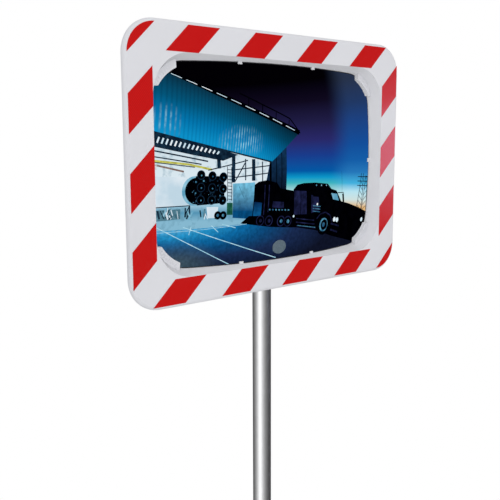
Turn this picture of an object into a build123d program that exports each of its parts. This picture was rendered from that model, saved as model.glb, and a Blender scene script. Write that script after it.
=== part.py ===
from build123d import *
from math import cos, radians, sin, tan
import os

# Convex observation mirror: a framed spherical mirror head on a tilting bracket,
# a swivel clamp, a stop collar and a bolt-down tubular post.
# Millimetres, +Z up. The mirror faces -Y. The origin is on the floor, on the post's axis.

# ---- post ----
TUBE_R = 21.2            # 42.4 mm outside diameter
TUBE_WALL = 2.6
TUBE_LENGTH = 2000.0
BASE_SIZE = 250.0
BASE_THICK = 10.0
BASE_CORNER_R = 20.0
ANCHOR_PITCH = 190.0
ANCHOR_HOLE_R = 7.0
GUSSET_HEIGHT = 90.0
GUSSET_REACH = 98.0      # from the post's axis
GUSSET_THICK = 5.0
GUSSET_TOE = 12.0
GUSSET_TOP = 14.0        # width of the gusset's top
WELD_LEG = 5.0
CAP_RISE = 5.0
CAP_ROUND = 3.5
CAP_PLUG = 22.0
CAP_WALL = 2.0
PLATE_EDGE = 1.2

# ---- mirror head; depths are measured backwards from the frame's face ----
HEAD_Z = 1895.0          # height of the head's centre
FACE_Y = -71.5           # the frame's face, in front of the post's axis
FRAME_W = 735.0
FRAME_H = 540.0
FRAME_CORNER_R = 65.0
FRAME_DEPTH = 12.0
FRAME_FRONT_ROUND = 8.0
FRAME_REAR_ROUND = 2.5
FRAME_WALL = 3.0
POCKET_W = 620.0         # the recess at the face
POCKET_H = 427.0
POCKET_CORNER_R = 82.0
POCKET_DRAFT = 21.8      # degrees
POCKET_REACH = 60.0
WINDOW_W = 568.0         # the opening behind the pane
WINDOW_H = 384.0
WINDOW_CORNER_R = 60.0

PANE_R = 1800.0          # radius of the reflecting sphere
PANE_APEX = 2.4          # depth of its foremost point
PANE_THICK = 3.0
GASKET_THICK = 2.0
LEDGE_THICK = 2.0
FIT = 0.3                # gap between the recess and what is set into it
PANE_GAP = 2.3           # gap between the recess and the pane, filled by the edge seal
SEAL_DROP = 0.4          # the edge seal stops this far below the pane's face

# ---- retainers on the pane ----
LIP_RISE = 11.0
LIP_ARC_R = 90.0
LIP_ARC_X = 210.0
LIP_ARC_Z = 105.0
LIP_END_X = 248.0
LIP_END_Z = 152.0
LIP_RIM = 3.0
LIP_RIB_RISE = 0.9
LIP_RIB_WIDTH = 1.4
LIP_RIB_LENGTH = 6.5
LIP_RIB_STEP = 3.5       # degrees
LIP_RIB_FIRST = 33.0
LIP_RIB_COUNT = 9
TAB_W = 9.0
TAB_REACH = 6.0
TAB_RISE = 2.5
TAB_X = 100.0

# ---- stripes ----
BAND_W = 722.0           # outside of the striped band
BAND_H = 527.0
BAND_WIDTH_SIDE = 51.0
BAND_WIDTH_TOP = 50.0
BAND_CORNER_R = 58.0
STRIPE_W = 72.0          # along the frame's edge
STRIPE_FIRST = 495.0     # offset of the outermost 45-degree edge from the centre
STRIPE_PITCH_TOP = 160.0
STRIPE_PITCH_SIDE = 143.0
CORNER_STRIPE = 567.0
FILM = 0.35

# ---- badge ----
BADGE_RX = 18.5
BADGE_RZ = 15.0
BADGE_Z = -180.0
BADGE_THICK = 1.5

# ---- rear cover ----
COVER_GAP = 3.5          # flange inside the frame's rim
COVER_FLANGE = 2.5
COVER_WALL = 3.0
COVER_RIB_DRAFT = 40.0
TRAY_W = 700.0
TRAY_H = 504.0
TRAY_CORNER_R = 50.0
TRAY_DRAFT = 35.0
TRAY_BACK = 49.0
CHANNEL_FLOOR = 24.7
CHANNEL_HALF = 31.0
CHANNEL_SLOPE = 0.3
RIB_XS = (105.0, 180.0, 255.0)
RIB_W = 34.0
RIB_H = 330.0
RIB_RISE = 2.0
BRACKET_WINDOW_W = 60.0
BRACKET_WINDOW_H = 66.0

# ---- cover screws: places across and up the frame ----
SCREW_X = 339.0
SCREW_Z = 240.0
SCREW_XS = (-260.0, -90.0, 90.0, 260.0)
SCREW_ZS = (-140.0, 0.0, 140.0)
BOSS_R = 5.0
SCREW_SHANK_R = 1.6
SCREW_HEAD_R = 3.8
SCREW_HEAD_H = 2.4

# ---- bracket ----
PLATE_W = 190.0
PLATE_H = 150.0
PLATE_FRONT = 19.3
PLATE_BACK = 22.0
PLATE_CORNER_R = 12.0
PLATE_SCREW_X = 75.0
PLATE_SCREW_Z = 55.0
PLATE_SCREW_R = 2.0
PLATE_SCREW_HEAD_R = 4.4
PAD_W = 150.0
PAD_H = 110.0
BRACKET_W = 58.0
BRACKET_H = 62.0
BRACKET_THICK = 3.0
BRACKET_SCREW_X = 21.0
BRACKET_SCREW_Z = 22.0
BRACKET_SCREW_R = 2.4
BRACKET_SCREW_HEAD_R = 4.6
MACHINE_HEAD_H = 2.8     # head of the plate and bracket screws
EAR_INSIDE = 5.5         # from the centre plane
EAR_THICK = 3.0
EAR_FOOT = 25.0          # half height at the base
EAR_R = 9.0
PIVOT = 35.0             # depth of the tilt axis
PIVOT_BOLT_R = 4.0
PIVOT_SPAN = 30.0        # longer than the pivot bolt's reach each way
RUN_CLEAR = 0.05
LUG_HALF = 4.0
FIBRE_THICK = 1.4
FIBRE_R = 9.0
WASHER_R = 8.0
WASHER_THICK = 1.6
HEX_AF = 13.0
HEAD_THICK = 5.3
NUT_THICK = 7.0
NUT_COLLAR = 1.5         # the nylon ring on the pivot's lock nut
THREAD_PAST = 2.0        # bolt past its nut

# ---- swivel clamp ----
LINER_THICK = 1.55
LINER_R = TUBE_R + RUN_CLEAR
CLAMP_R = LINER_R + LINER_THICK
CLAMP_THICK = 4.0
CLAMP_H = 60.0
CLAMP_SPLIT = 1.5        # half the gap between the two halves
FLANGE_X = 50.0
FLANGE_THICK = 4.0
FLANGE_CORNER_R = 6.0
LUG_FOOT = 22.0          # half height where the lug meets the clamp
CLAMP_BOLT_X = 40.0
CLAMP_BOLT_Z = 16.0
CLAMP_BOLT_CLEAR = 0.3

# ---- stop collar ----
COLLAR_R = 30.0
COLLAR_H = 18.0
COLLAR_GAP = 0.2
COLLAR_CHAMFER = 1.2
GRUB_R = 4.0
GRUB_SOCKET_R = 2.0
GRUB_SOCKET_DEPTH = 3.0

PIVOT_Y = FACE_Y + PIVOT
BALL_Y = FACE_Y + PANE_APEX + PANE_R


def write(shape, name):
    parts = list(shape) if isinstance(shape, (list, ShapeList)) else [shape]
    export_step(Compound(children=parts) if len(parts) > 1 else parts[0], f"parts/{name}.step")


def at_depth(depth):
    """A plane behind the face; its local y points down."""
    return Plane(origin=(0, FACE_Y + depth, HEAD_Z), x_dir=(1, 0, 0), z_dir=(0, 1, 0))


def slab(sketch, near, far, draft=0.0):
    return extrude(at_depth(near) * sketch, amount=far - near, taper=draft)


def outline(points, near, far):
    """A plate with straight edges, through points given from the head's centre."""
    border = Polyline(*[(x, FACE_Y + near, HEAD_Z + z) for x, z in points], close=True)
    return extrude(make_face(border), amount=far - near, dir=(0, 1, 0))


def peg(x, z, radius, near, far):
    """A cylinder pointing backwards, at x and z from the head's centre."""
    return slab(Pos(x, -z) * Circle(radius), near, far)


def ball(radius):
    return Pos(0, BALL_Y, HEAD_Z) * Sphere(radius)


def cross_pin(radius, x_from, x_to):
    """A cylinder along X on the tilt axis."""
    plane = Plane(origin=(x_from, PIVOT_Y, HEAD_Z), x_dir=(0, 1, 0), z_dir=(1, 0, 0))
    return extrude(plane * Circle(radius), amount=x_to - x_from)


def hexagon(plane, thick):
    return extrude(plane * RegularPolygon(HEX_AF / 2, 6, major_radius=False), amount=thick)


def frame_screw_places():
    rows = [(x, z) for x in SCREW_XS for z in (-SCREW_Z, SCREW_Z)]
    columns = [(x, z) for x in (-SCREW_X, SCREW_X) for z in SCREW_ZS]
    return rows + columns


def corners(x, z):
    return [(sx * x, sz * z) for sx in (-1, 1) for sz in (-1, 1)]


# ---------------- mirror head ----------------

def recess(gap=0.0):
    """The tapered recess that the pane drops into, made smaller by a gap."""
    sketch = RectangleRounded(POCKET_W - 2 * gap, POCKET_H - 2 * gap, POCKET_CORNER_R - gap)
    return slab(sketch, 0, POCKET_REACH, POCKET_DRAFT)


def window():
    return slab(RectangleRounded(WINDOW_W, WINDOW_H, WINDOW_CORNER_R), -1, POCKET_REACH + 1)


def front_frame():
    rim = slab(RectangleRounded(FRAME_W, FRAME_H, FRAME_CORNER_R), 0, FRAME_DEPTH)
    front = rim.faces().sort_by(Axis.Y)[0]
    rim = fillet(front.edges(), FRAME_FRONT_ROUND)
    rear = rim.faces().sort_by(Axis.Y)[-1]
    rim = fillet(rear.edges(), FRAME_REAR_ROUND)
    inset = 2 * (FRAME_WALL + 1)
    hollow = slab(RectangleRounded(FRAME_W - inset, FRAME_H - inset, FRAME_CORNER_R - inset / 2),
                  FRAME_WALL, FRAME_DEPTH + 1)
    ledge_front = PANE_R - PANE_THICK - GASKET_THICK
    funnel = recess(-FRAME_WALL / cos(radians(POCKET_DRAFT))) - ball(ledge_front - LEDGE_THICK)
    body = rim - hollow + funnel
    for x, z in frame_screw_places():
        body += peg(x, z, BOSS_R, FRAME_WALL / 2, FRAME_DEPTH)
    body -= recess() - ball(ledge_front)
    body -= window()
    for x, z in frame_screw_places():
        body -= peg(x, z, SCREW_SHANK_R, FRAME_WALL + 1, FRAME_DEPTH + 1)
    return body


def mirror_pane():
    return (recess(PANE_GAP) & ball(PANE_R)) - ball(PANE_R - PANE_THICK)


def pane_gasket():
    back = PANE_R - PANE_THICK
    bed = (recess(FIT) & ball(back)) - ball(back - GASKET_THICK) - window()
    edge_seal = (recess(FIT) & ball(PANE_R - SEAL_DROP)) - ball(back) - recess(PANE_GAP)
    return bed + edge_seal


def lip_ribs(x, z, side_x, side_z):
    """Raised radial ribs, fanned about the centre of a lip's arc."""
    ribs = []
    top = PANE_R + LIP_RISE
    for i in range(LIP_RIB_COUNT):
        angle = LIP_RIB_FIRST + i * LIP_RIB_STEP
        reach = LIP_ARC_R + LIP_RIM + LIP_RIB_LENGTH / 2
        middle = Pos(x + side_x * reach * cos(radians(angle)), -z - side_z * reach * sin(radians(angle)))
        bar = Rot(0, 0, -side_x * side_z * angle) * Rectangle(LIP_RIB_LENGTH, LIP_RIB_WIDTH)
        ribs.append((slab(middle * bar, 0, POCKET_REACH) & ball(top + LIP_RIB_RISE)) - ball(top - LIP_RIM))
    return ribs


def corner_retainers():
    top = PANE_R + LIP_RISE
    layer = (recess(FIT) & ball(top)) - ball(PANE_R)
    lips = []
    for sx, sz in corners(1, 1):
        x0, z0 = sx * LIP_ARC_X, sz * LIP_ARC_Z
        reach_x = POCKET_W / 2 - LIP_END_X
        reach_z = POCKET_H / 2 - LIP_END_Z
        corner = slab(Pos(sx * (LIP_END_X + reach_x / 2), -sz * (LIP_END_Z + reach_z / 2))
                      * Rectangle(reach_x, reach_z), -1, POCKET_REACH)
        lip = (layer & corner) - peg(x0, z0, LIP_ARC_R, -1, POCKET_REACH)
        lips.append(lip + lip_ribs(x0, z0, sx, sz))
    return lips


def edge_clips():
    layer = (recess(FIT) & ball(PANE_R + TAB_RISE)) - ball(PANE_R)
    depth = 60.0
    clips = []
    for x in (-TAB_X, TAB_X):
        for sz in (-1, 1):
            inner = POCKET_H / 2 - POCKET_DROP_TOP - TAB_REACH
            block = Pos(x, -sz * (inner + depth / 2)) * Rectangle(TAB_W, depth)
            clips.append(layer & slab(block, -1, POCKET_REACH))
    for sx in (-1, 1):
        inner = POCKET_W / 2 - POCKET_DROP_SIDE - TAB_REACH
        block = Pos(sx * (inner + depth / 2), 0) * Rectangle(depth, TAB_W)
        clips.append(layer & slab(block, -1, POCKET_REACH))
    return clips


def pane_depth(x, z):
    return PANE_APEX + PANE_R - (PANE_R ** 2 - x ** 2 - z ** 2) ** 0.5


# how far the recess has narrowed where it meets the pane
POCKET_DROP_TOP = tan(radians(POCKET_DRAFT)) * pane_depth(0, POCKET_H / 2)
POCKET_DROP_SIDE = tan(radians(POCKET_DRAFT)) * pane_depth(POCKET_W / 2, 0)


def badge_disc():
    column = slab(Pos(0, -BADGE_Z) * Ellipse(BADGE_RX, BADGE_RZ), -1, POCKET_REACH)
    return (column & ball(PANE_R + BADGE_THICK)) - ball(PANE_R)


def stripe_row(first, pitch, count, low, high, across):
    """45-degree stripes between two lines; across is True on the top and bottom bands."""
    stripes = []
    for i in range(count):
        a, b = first + i * pitch, first + i * pitch + STRIPE_W
        if across:
            points = [(a + high, high), (b + high, high), (b + low, low), (a + low, low)]
        else:
            points = [(low, low - a), (high, high - a), (high, high - b), (low, low - b)]
        stripes.append(outline(points, -FILM, 0))
    return stripes


def stripes_top():
    high = BAND_H / 2
    return stripe_row(-STRIPE_FIRST, STRIPE_PITCH_TOP, 4, high - BAND_WIDTH_TOP, high, True)


def stripes_bottom():
    first = STRIPE_FIRST - STRIPE_W - 3 * STRIPE_PITCH_TOP
    low = -BAND_H / 2
    return stripe_row(first, STRIPE_PITCH_TOP, 4, low, low + BAND_WIDTH_TOP, True)


def stripes_left():
    low = -BAND_W / 2
    return stripe_row(-STRIPE_FIRST, STRIPE_PITCH_SIDE, 3, low, low + BAND_WIDTH_SIDE, False)


def stripes_right():
    first = STRIPE_FIRST - STRIPE_W - 2 * STRIPE_PITCH_SIDE
    high = BAND_W / 2
    return stripe_row(first, STRIPE_PITCH_SIDE, 3, high - BAND_WIDTH_SIDE, high, False)


def stripes_corner():
    rounded = slab(RectangleRounded(BAND_W, BAND_H, BAND_CORNER_R), -FILM, 0)
    pieces = []
    for side in (-1, 1):
        x, z = side * BAND_W / 2, -side * BAND_H / 2
        triangle = [(x, z), (x, x - side * CORNER_STRIPE), (z + side * CORNER_STRIPE, z)]
        pieces.append(rounded & outline(triangle, -FILM, 0))
    return pieces


def channel(floor, half):
    """The trough down the back of the cover, which clears the post and the clamp."""
    back = TRAY_BACK + RIB_RISE + 1
    wide = half + CHANNEL_SLOPE * (back - floor)
    points = [(-half, floor), (half, floor), (wide, back), (-wide, back)]
    section = Polygon(*[(x, FACE_Y + depth) for x, depth in points], align=None)
    return extrude(Pos(0, 0, HEAD_Z - FRAME_H / 2) * section, amount=FRAME_H)


def rear_cover():
    width, height = FRAME_W - 2 * COVER_GAP, FRAME_H - 2 * COVER_GAP
    flange = slab(RectangleRounded(width, height, FRAME_CORNER_R - COVER_GAP),
                  FRAME_DEPTH, FRAME_DEPTH + COVER_FLANGE)
    tray = slab(RectangleRounded(TRAY_W, TRAY_H, TRAY_CORNER_R), FRAME_DEPTH, TRAY_BACK, TRAY_DRAFT)
    for x in RIB_XS:
        for side in (-1, 1):
            rib = Pos(side * x, 0) * RectangleRounded(RIB_W, RIB_H, RIB_W / 2 - 1)
            tray += slab(rib, TRAY_BACK - 1, TRAY_BACK + RIB_RISE, COVER_RIB_DRAFT)
    tray -= channel(CHANNEL_FLOOR, CHANNEL_HALF)
    wall = 2 * COVER_WALL
    cavity = slab(RectangleRounded(TRAY_W - wall, TRAY_H - wall, TRAY_CORNER_R - COVER_WALL),
                  FRAME_DEPTH, TRAY_BACK - COVER_WALL, TRAY_DRAFT)
    cavity -= channel(PLATE_BACK, CHANNEL_HALF + COVER_WALL)
    body = flange + tray - cavity
    for x, z in corners(PLATE_SCREW_X, PLATE_SCREW_Z):
        body += peg(x, z, BOSS_R + 1, PLATE_BACK, TRAY_BACK - 1)
    for x, z in corners(PLATE_SCREW_X, PLATE_SCREW_Z):
        body -= peg(x, z, PLATE_SCREW_R + 0.2, PLATE_BACK - 1, TRAY_BACK + RIB_RISE + 1)
    for x, z in frame_screw_places():
        body -= peg(x, z, SCREW_SHANK_R + 0.4, FRAME_DEPTH - 1, FRAME_DEPTH + COVER_FLANGE + 1)
    body -= slab(Rectangle(BRACKET_WINDOW_W, BRACKET_WINDOW_H), PLATE_BACK - 1, CHANNEL_FLOOR + 1)
    return body


def pan_screw(x, z, shank_r, head_r, tip, seat, head_h):
    """A screw that goes forwards from its seat; its head is domed by a fillet."""
    head = peg(x, z, head_r, seat, seat + head_h)
    head = fillet(head.edges().sort_by(Axis.Y)[-1], head_h * 0.6)
    return head + peg(x, z, shank_r, tip, seat)


def cover_screws():
    seat = FRAME_DEPTH + COVER_FLANGE
    return [pan_screw(x, z, SCREW_SHANK_R, SCREW_HEAD_R, FRAME_WALL + 2, seat, SCREW_HEAD_H)
            for x, z in frame_screw_places()]


def support_pad():
    block = slab(RectangleRounded(PAD_W, PAD_H, PLATE_CORNER_R), 0, PLATE_FRONT)
    return block & ball(PANE_R - PANE_THICK)


def stiffener_plate():
    plate = slab(RectangleRounded(PLATE_W, PLATE_H, PLATE_CORNER_R), PLATE_FRONT, PLATE_BACK)
    for x, z in corners(PLATE_SCREW_X, PLATE_SCREW_Z):
        plate -= peg(x, z, PLATE_SCREW_R, PLATE_FRONT - 1, PLATE_BACK + 1)
    for x, z in corners(BRACKET_SCREW_X, BRACKET_SCREW_Z):
        plate -= peg(x, z, BRACKET_SCREW_R, PLATE_FRONT - 1, PLATE_BACK + 1)
    return plate


def plate_screws():
    return [pan_screw(x, z, PLATE_SCREW_R, PLATE_SCREW_HEAD_R, PLATE_FRONT, TRAY_BACK, MACHINE_HEAD_H)
            for x, z in corners(PLATE_SCREW_X, PLATE_SCREW_Z)]


def ear_profile(x_from, x_to, radius, foot_depth, foot_half):
    """A tapering plate with a round end on the tilt axis, across X."""
    plane = Plane(origin=(x_from, PIVOT_Y, HEAD_Z), x_dir=(0, 1, 0), z_dir=(1, 0, 0))
    foot = foot_depth - PIVOT
    step = 2.0 if foot > 0 else -2.0
    toe = Pos(foot - step / 2, 0) * Rectangle(2.0, 2 * foot_half)
    sketch = make_hull((toe + Circle(radius)).edges())
    return extrude(plane * sketch, amount=x_to - x_from)


def tilt_bracket():
    base_back = PLATE_BACK + BRACKET_THICK
    body = slab(RectangleRounded(BRACKET_W, BRACKET_H, 5), PLATE_BACK, base_back)
    for side in (-1, 1):
        near, far = sorted((side * EAR_INSIDE, side * (EAR_INSIDE + EAR_THICK)))
        body += ear_profile(near, far, EAR_R, base_back - 1, EAR_FOOT)
    body -= cross_pin(PIVOT_BOLT_R + RUN_CLEAR, -PIVOT_SPAN, PIVOT_SPAN)
    for x, z in corners(BRACKET_SCREW_X, BRACKET_SCREW_Z):
        body -= peg(x, z, BRACKET_SCREW_R, PLATE_BACK - 1, base_back + 1)
    return body


def bracket_screws():
    seat = PLATE_BACK + BRACKET_THICK
    return [pan_screw(x, z, BRACKET_SCREW_R, BRACKET_SCREW_HEAD_R, PLATE_FRONT, seat, MACHINE_HEAD_H)
            for x, z in corners(BRACKET_SCREW_X, BRACKET_SCREW_Z)]


def friction_washers():
    hole = cross_pin(PIVOT_BOLT_R + RUN_CLEAR, -PIVOT_SPAN, PIVOT_SPAN)
    edge = EAR_INSIDE - FIBRE_THICK
    return [cross_pin(FIBRE_R, edge, EAR_INSIDE) - hole, cross_pin(FIBRE_R, -EAR_INSIDE, -edge) - hole]


def pivot_washers():
    hole = cross_pin(PIVOT_BOLT_R, -PIVOT_SPAN, PIVOT_SPAN)
    edge = EAR_INSIDE + EAR_THICK
    far = edge + WASHER_THICK
    return [cross_pin(WASHER_R, edge, far) - hole, cross_pin(WASHER_R, -far, -edge) - hole]


def pivot_bolt():
    seat = EAR_INSIDE + EAR_THICK + WASHER_THICK
    head_plane = Plane(origin=(-seat - HEAD_THICK, PIVOT_Y, HEAD_Z), x_dir=(0, 1, 0), z_dir=(1, 0, 0))
    head = hexagon(head_plane, HEAD_THICK)
    return head + cross_pin(PIVOT_BOLT_R, -seat, seat + NUT_THICK + THREAD_PAST)


def pivot_nut():
    seat = EAR_INSIDE + EAR_THICK + WASHER_THICK
    plane = Plane(origin=(seat, PIVOT_Y, HEAD_Z), x_dir=(0, 1, 0), z_dir=(1, 0, 0))
    hex_end = seat + NUT_THICK - NUT_COLLAR
    collar = cross_pin(HEX_AF / 2 - 0.6, hex_end, hex_end + 2 * NUT_COLLAR)
    bore = cross_pin(PIVOT_BOLT_R, -PIVOT_SPAN, PIVOT_SPAN)
    return hexagon(plane, NUT_THICK - NUT_COLLAR) + collar - bore


# ---------------- swivel clamp ----------------

def post_cylinder(radius, low, high):
    return extrude(Pos(0, 0, low) * Circle(radius), amount=high - low)


CLAMP_LOW = HEAD_Z - CLAMP_H / 2
CLAMP_HIGH = HEAD_Z + CLAMP_H / 2
CLAMP_FACE = CLAMP_SPLIT + FLANGE_THICK


def bolt_axis(x, z, radius, y_from, y_to):
    plane = Plane(origin=(x, y_from, HEAD_Z + z), x_dir=(1, 0, 0), z_dir=(0, 1, 0))
    return extrude(plane * Circle(radius), amount=y_to - y_from)


def clamp_half(side):
    """side is -1 for the front half and 1 for the rear half."""
    ring = post_cylinder(CLAMP_R + CLAMP_THICK, CLAMP_LOW, CLAMP_HIGH)
    flange_y = side * (CLAMP_SPLIT + FLANGE_THICK / 2)
    flange = Pos(0, flange_y, HEAD_Z) * Box(2 * FLANGE_X, FLANGE_THICK, CLAMP_H)
    flange = fillet(flange.edges().filter_by(Axis.Y), FLANGE_CORNER_R)
    body = ring + flange
    if side < 0:
        body += ear_profile(-LUG_HALF, LUG_HALF, EAR_R, PIVOT - PIVOT_Y - CLAMP_R, LUG_FOOT)
        body -= cross_pin(PIVOT_BOLT_R + RUN_CLEAR, -PIVOT_SPAN, PIVOT_SPAN)
    body -= post_cylinder(CLAMP_R, CLAMP_LOW - 1, CLAMP_HIGH + 1)
    other_half = Pos(0, -side * (FLANGE_X - CLAMP_SPLIT), HEAD_Z)
    body -= other_half * Box(3 * FLANGE_X, 2 * FLANGE_X, 2 * CLAMP_H)
    for x, z in corners(CLAMP_BOLT_X, CLAMP_BOLT_Z):
        body -= bolt_axis(x, z, PIVOT_BOLT_R + CLAMP_BOLT_CLEAR, -CLAMP_FACE - 1, CLAMP_FACE + 1)
    return body


def clamp_liner():
    ring = post_cylinder(CLAMP_R, CLAMP_LOW, CLAMP_HIGH) - post_cylinder(LINER_R, CLAMP_LOW, CLAMP_HIGH)
    return ring - Pos(CLAMP_R, 0, HEAD_Z) * Box(8, 2 * CLAMP_SPLIT, CLAMP_H + 2)


def clamp_washers():
    washers = []
    for x, z in corners(CLAMP_BOLT_X, CLAMP_BOLT_Z):
        for near in (-CLAMP_FACE - WASHER_THICK, CLAMP_FACE):
            ring = bolt_axis(x, z, WASHER_R, near, near + WASHER_THICK)
            washers.append(ring - bolt_axis(x, z, PIVOT_BOLT_R, near - 1, near + WASHER_THICK + 1))
    return washers


def clamp_bolts():
    seat = CLAMP_FACE + WASHER_THICK
    bolts = []
    for x, z in corners(CLAMP_BOLT_X, CLAMP_BOLT_Z):
        plane = Plane(origin=(x, seat, HEAD_Z + z), x_dir=(1, 0, 0), z_dir=(0, 1, 0))
        shank = bolt_axis(x, z, PIVOT_BOLT_R, -seat - NUT_THICK - THREAD_PAST, seat)
        bolts.append(hexagon(plane, HEAD_THICK) + shank)
    return bolts


def clamp_nuts():
    seat = CLAMP_FACE + WASHER_THICK
    nuts = []
    for x, z in corners(CLAMP_BOLT_X, CLAMP_BOLT_Z):
        plane = Plane(origin=(x, -seat - NUT_THICK, HEAD_Z + z), x_dir=(1, 0, 0), z_dir=(0, 1, 0))
        nuts.append(hexagon(plane, NUT_THICK) - bolt_axis(x, z, PIVOT_BOLT_R, -seat - 10, 0))
    return nuts


# ---------------- stop collar ----------------

COLLAR_TOP = CLAMP_LOW - COLLAR_GAP


def stop_collar():
    ring = post_cylinder(COLLAR_R, COLLAR_TOP - COLLAR_H, COLLAR_TOP)
    ring = chamfer(ring.edges().filter_by(GeomType.CIRCLE), COLLAR_CHAMFER)
    ring -= post_cylinder(LINER_R, COLLAR_TOP - COLLAR_H - 1, COLLAR_TOP + 1)
    return ring - bolt_axis(0, COLLAR_TOP - COLLAR_H / 2 - HEAD_Z, GRUB_R, 0, COLLAR_R + 5)


def collar_screw():
    z = COLLAR_TOP - COLLAR_H / 2 - HEAD_Z
    mouth = COLLAR_R - 0.5
    plane = Plane(origin=(0, mouth - GRUB_SOCKET_DEPTH, HEAD_Z + z), x_dir=(1, 0, 0), z_dir=(0, 1, 0))
    socket = extrude(plane * RegularPolygon(GRUB_SOCKET_R, 6, major_radius=False), amount=COLLAR_R)
    return bolt_axis(0, z, GRUB_R, LINER_R + 0.1, mouth) - socket


# ---------------- post ----------------

TUBE_TOP = BASE_THICK + TUBE_LENGTH


def post_tube():
    return (post_cylinder(TUBE_R, BASE_THICK, TUBE_TOP)
            - post_cylinder(TUBE_R - TUBE_WALL, BASE_THICK - 1, TUBE_TOP + 1))


def post_cap():
    crown = post_cylinder(TUBE_R, TUBE_TOP, TUBE_TOP + CAP_RISE)
    crown = fillet(crown.edges().sort_by(Axis.Z)[-1], CAP_ROUND)
    bore = TUBE_R - TUBE_WALL
    plug = post_cylinder(bore, TUBE_TOP - CAP_PLUG, TUBE_TOP)
    return crown + plug - post_cylinder(bore - CAP_WALL, TUBE_TOP - CAP_PLUG - 1, TUBE_TOP)


def base_plate():
    plate = extrude(RectangleRounded(BASE_SIZE, BASE_SIZE, BASE_CORNER_R), amount=BASE_THICK)
    plate = chamfer(plate.faces().sort_by(Axis.Z)[-1].edges(), PLATE_EDGE)
    half = ANCHOR_PITCH / 2
    for x, y in corners(half, half):
        plate -= Pos(x, y, BASE_THICK / 2) * Cylinder(ANCHOR_HOLE_R, BASE_THICK + 2)
    return plate


def base_gussets():
    clip = WELD_LEG + 3
    points = [(TUBE_R, BASE_THICK + clip), (TUBE_R + clip, BASE_THICK), (GUSSET_REACH, BASE_THICK),
              (GUSSET_REACH, BASE_THICK + GUSSET_TOE), (TUBE_R + GUSSET_TOP, BASE_THICK + GUSSET_HEIGHT),
              (TUBE_R, BASE_THICK + GUSSET_HEIGHT)]
    fin = extrude(Plane.XZ * Polygon(*points, align=None), amount=GUSSET_THICK / 2, both=True)
    fin -= post_cylinder(TUBE_R, 0, BASE_THICK + GUSSET_HEIGHT + 1)
    return [Rot(0, 0, 90 * i) * fin for i in range(4)]


def base_weld():
    bead = Polygon((TUBE_R, BASE_THICK), (TUBE_R + WELD_LEG, BASE_THICK), (TUBE_R, BASE_THICK + WELD_LEG),
                   align=None)
    return revolve(Plane.XZ * bead, Axis.Z)


NODES = {
    "front_frame": front_frame,
    "mirror_pane": mirror_pane,
    "pane_gasket": pane_gasket,
    "corner_retainers": corner_retainers,
    "edge_clips": edge_clips,
    "badge_disc": badge_disc,
    "stripes_top": stripes_top,
    "stripes_bottom": stripes_bottom,
    "stripes_left": stripes_left,
    "stripes_right": stripes_right,
    "stripes_corner": stripes_corner,
    "rear_cover": rear_cover,
    "cover_screws": cover_screws,
    "support_pad": support_pad,
    "stiffener_plate": stiffener_plate,
    "plate_screws": plate_screws,
    "tilt_bracket": tilt_bracket,
    "bracket_screws": bracket_screws,
    "friction_washers": friction_washers,
    "pivot_washers": pivot_washers,
    "pivot_bolt": pivot_bolt,
    "pivot_nut": pivot_nut,
    "clamp_front": lambda: clamp_half(-1),
    "clamp_rear": lambda: clamp_half(1),
    "clamp_liner": clamp_liner,
    "clamp_bolts": clamp_bolts,
    "clamp_washers": clamp_washers,
    "clamp_nuts": clamp_nuts,
    "stop_collar": stop_collar,
    "collar_screw": collar_screw,
    "post_tube": post_tube,
    "post_cap": post_cap,
    "base_plate": base_plate,
    "base_gussets": base_gussets,
    "base_weld": base_weld,
}

os.makedirs("parts", exist_ok=True)
for node, make in NODES.items():
    write(make(), node)
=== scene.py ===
import math
import random

import bmesh
import bpy
from mathutils import Matrix, Vector


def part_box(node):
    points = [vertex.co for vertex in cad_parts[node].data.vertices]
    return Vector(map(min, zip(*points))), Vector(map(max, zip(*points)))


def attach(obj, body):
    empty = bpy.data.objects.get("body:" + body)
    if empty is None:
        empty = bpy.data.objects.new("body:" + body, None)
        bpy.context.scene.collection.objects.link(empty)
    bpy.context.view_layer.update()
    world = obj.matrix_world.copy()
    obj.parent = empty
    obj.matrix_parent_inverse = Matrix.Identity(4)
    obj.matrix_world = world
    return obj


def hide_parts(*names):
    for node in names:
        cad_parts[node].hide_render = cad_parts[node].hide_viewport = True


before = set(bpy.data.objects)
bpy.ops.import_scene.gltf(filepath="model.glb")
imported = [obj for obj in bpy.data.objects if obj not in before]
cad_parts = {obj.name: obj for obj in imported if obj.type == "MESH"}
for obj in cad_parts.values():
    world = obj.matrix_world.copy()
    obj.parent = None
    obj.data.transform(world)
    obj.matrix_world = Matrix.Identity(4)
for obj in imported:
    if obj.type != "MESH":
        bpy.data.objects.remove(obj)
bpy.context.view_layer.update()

MM = 0.001
random.seed(7)

# ---------------------------------------------------------------- places taken from the frame

frame_low, frame_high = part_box("front_frame")
pane_low, pane_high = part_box("mirror_pane")
HEAD_Z = (frame_low.z + frame_high.z) / 2
FACE_Y = frame_low.y
PANE_R = 1.8
PANE_THICK = 3 * MM
PANE_CENTRE = Vector((0, pane_low.y + PANE_R, HEAD_Z))
EYE = Vector((0, FACE_Y, HEAD_Z))


# ---------------------------------------------------------------- shader building

def grey(level):
    return (level, level, level)


def shade(colour, factor):
    return tuple(min(1.0, c * factor) for c in colour)


def node(tree, kind, sockets=None, **settings):
    made = tree.nodes.new("ShaderNode" + kind)
    for key, value in settings.items():
        setattr(made, key, value)
    for key, value in (sockets or {}).items():
        if isinstance(value, bpy.types.NodeSocket):
            tree.links.new(value, made.inputs[key])
        else:
            made.inputs[key].default_value = value
    return made


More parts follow.
